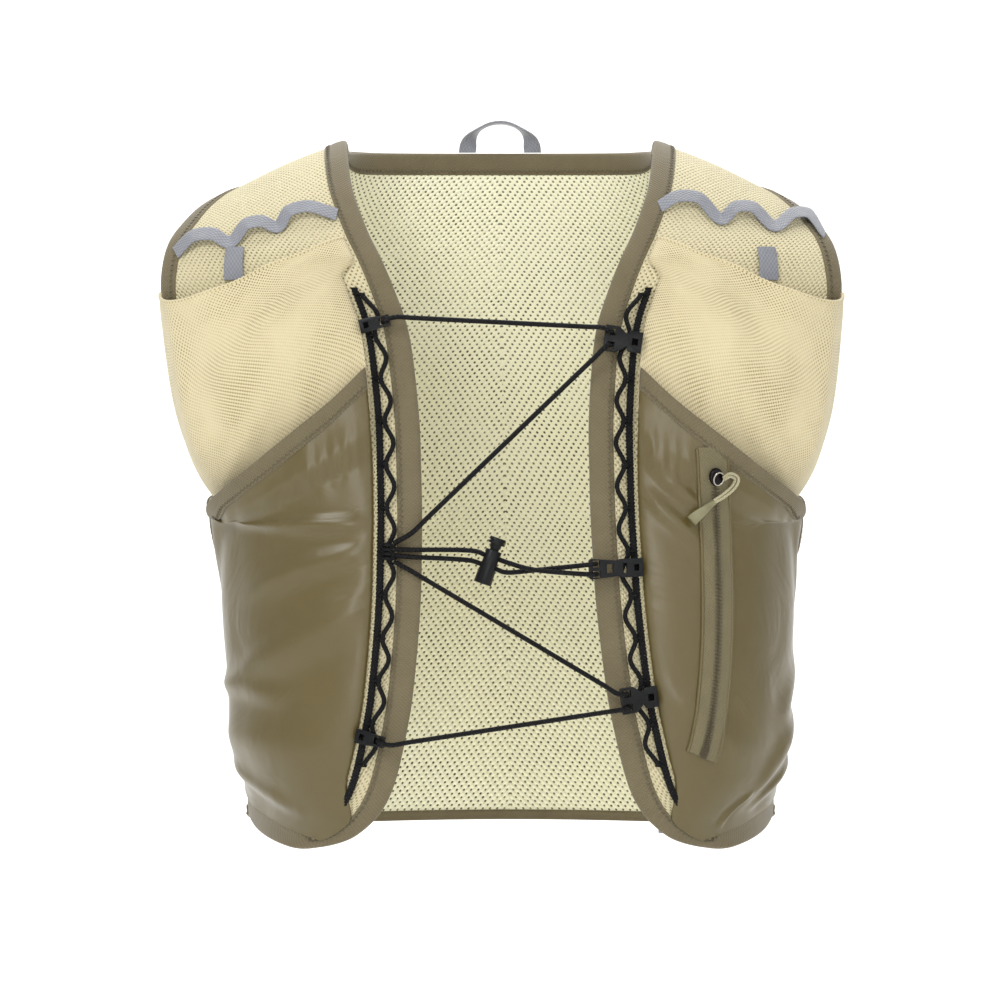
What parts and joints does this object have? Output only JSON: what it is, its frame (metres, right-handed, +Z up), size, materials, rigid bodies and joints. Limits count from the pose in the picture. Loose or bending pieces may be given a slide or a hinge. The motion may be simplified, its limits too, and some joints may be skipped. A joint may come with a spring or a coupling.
{
  "type": "running hydration vest",
  "caption": "Open-front running hydration vest of mesh and woven nylon with an elastic lace front, cord lock, bottle pockets, zip pocket and haul loop, kept in its worn form.",
  "frame": {"origin": "midway between the undersides of the two shoulder straps, where the wearer's shoulders carry the vest (mount shoulder_rest)", "axes": "+Z up, -Y is the vest's front, +X is the wearer's left (the right of the picture); metres"},
  "size_m": [0.3659, 0.2185, 0.4135],
  "materials": {
    "back_mesh_cloth": "pale open 3D mesh",
    "front_mesh_cloth": "beige fine air mesh",
    "pocket_mesh_cloth": "cream stretch mesh",
    "woven_nylon": "taupe woven nylon with a soft sheen",
    "binding_knit": "matte taupe stretch binding",
    "grey_webbing": "grey woven tape",
    "black_elastic": "black braided elastic",
    "black_plastic": "black moulded plastic",
    "dark_metal": "dark plated metal",
    "zip_tape_cloth": "taupe zip tape",
    "pull_cord": "beige cord and moulded end"
  },
  "bodies": {
    "vest": {"back_mesh": "back_mesh_cloth", "front_mesh_left": "front_mesh_cloth", "front_mesh_right": "front_mesh_cloth", "bottle_pocket_left": "pocket_mesh_cloth", "bottle_pocket_right": "pocket_mesh_cloth", "lower_pocket_left": "woven_nylon", "lower_pocket_right": "woven_nylon", "back_shell": "woven_nylon", "front_binding_left": "binding_knit", "front_binding_right": "binding_knit", "neck_binding": "binding_knit", "back_hem_binding": "binding_knit", "armhole_binding_left": "binding_knit", "armhole_binding_right": "binding_knit", "pocket_binding_left": "binding_knit", "pocket_binding_right": "binding_knit", "grey_tape_left": "grey_webbing", "grey_tape_right": "grey_webbing", "grey_tab_left": "grey_webbing", "grey_tab_right": "grey_webbing", "haul_loop": "grey_webbing", "hem_tab": "grey_webbing", "loop_rail_left": "black_elastic", "loop_rail_right": "black_elastic", "loop_cord_left": "black_elastic", "loop_cord_right": "black_elastic", "lace_upper": "black_elastic", "lace_lower": "black_elastic", "lace_middle_front": "black_elastic", "lace_middle_back": "black_elastic", "lace_slider_top": "black_plastic", "lace_slider_bottom": "black_plastic", "lace_buckle": "black_plastic", "lace_hook_top": "black_plastic", "lace_hook_bottom": "black_plastic", "cord_lock_barrel": "black_plastic", "zip_coil": "dark_metal", "zip_slider": "dark_metal", "zip_tape": "zip_tape_cloth", "zip_pull_cord": "pull_cord", "zip_pull_end": "pull_cord"},
    "lock_button": {"cord_lock_button": "black_plastic"}
  },
  "joints": [
    {"name": "button_press", "type": "slide", "parent": "vest", "child": "lock_button", "axis": [-0.3335, 0, -0.9428], "range_m": [0, 0.003], "stiffness_N_per_m": 1000, "springref_m": -0.002}
  ]
}
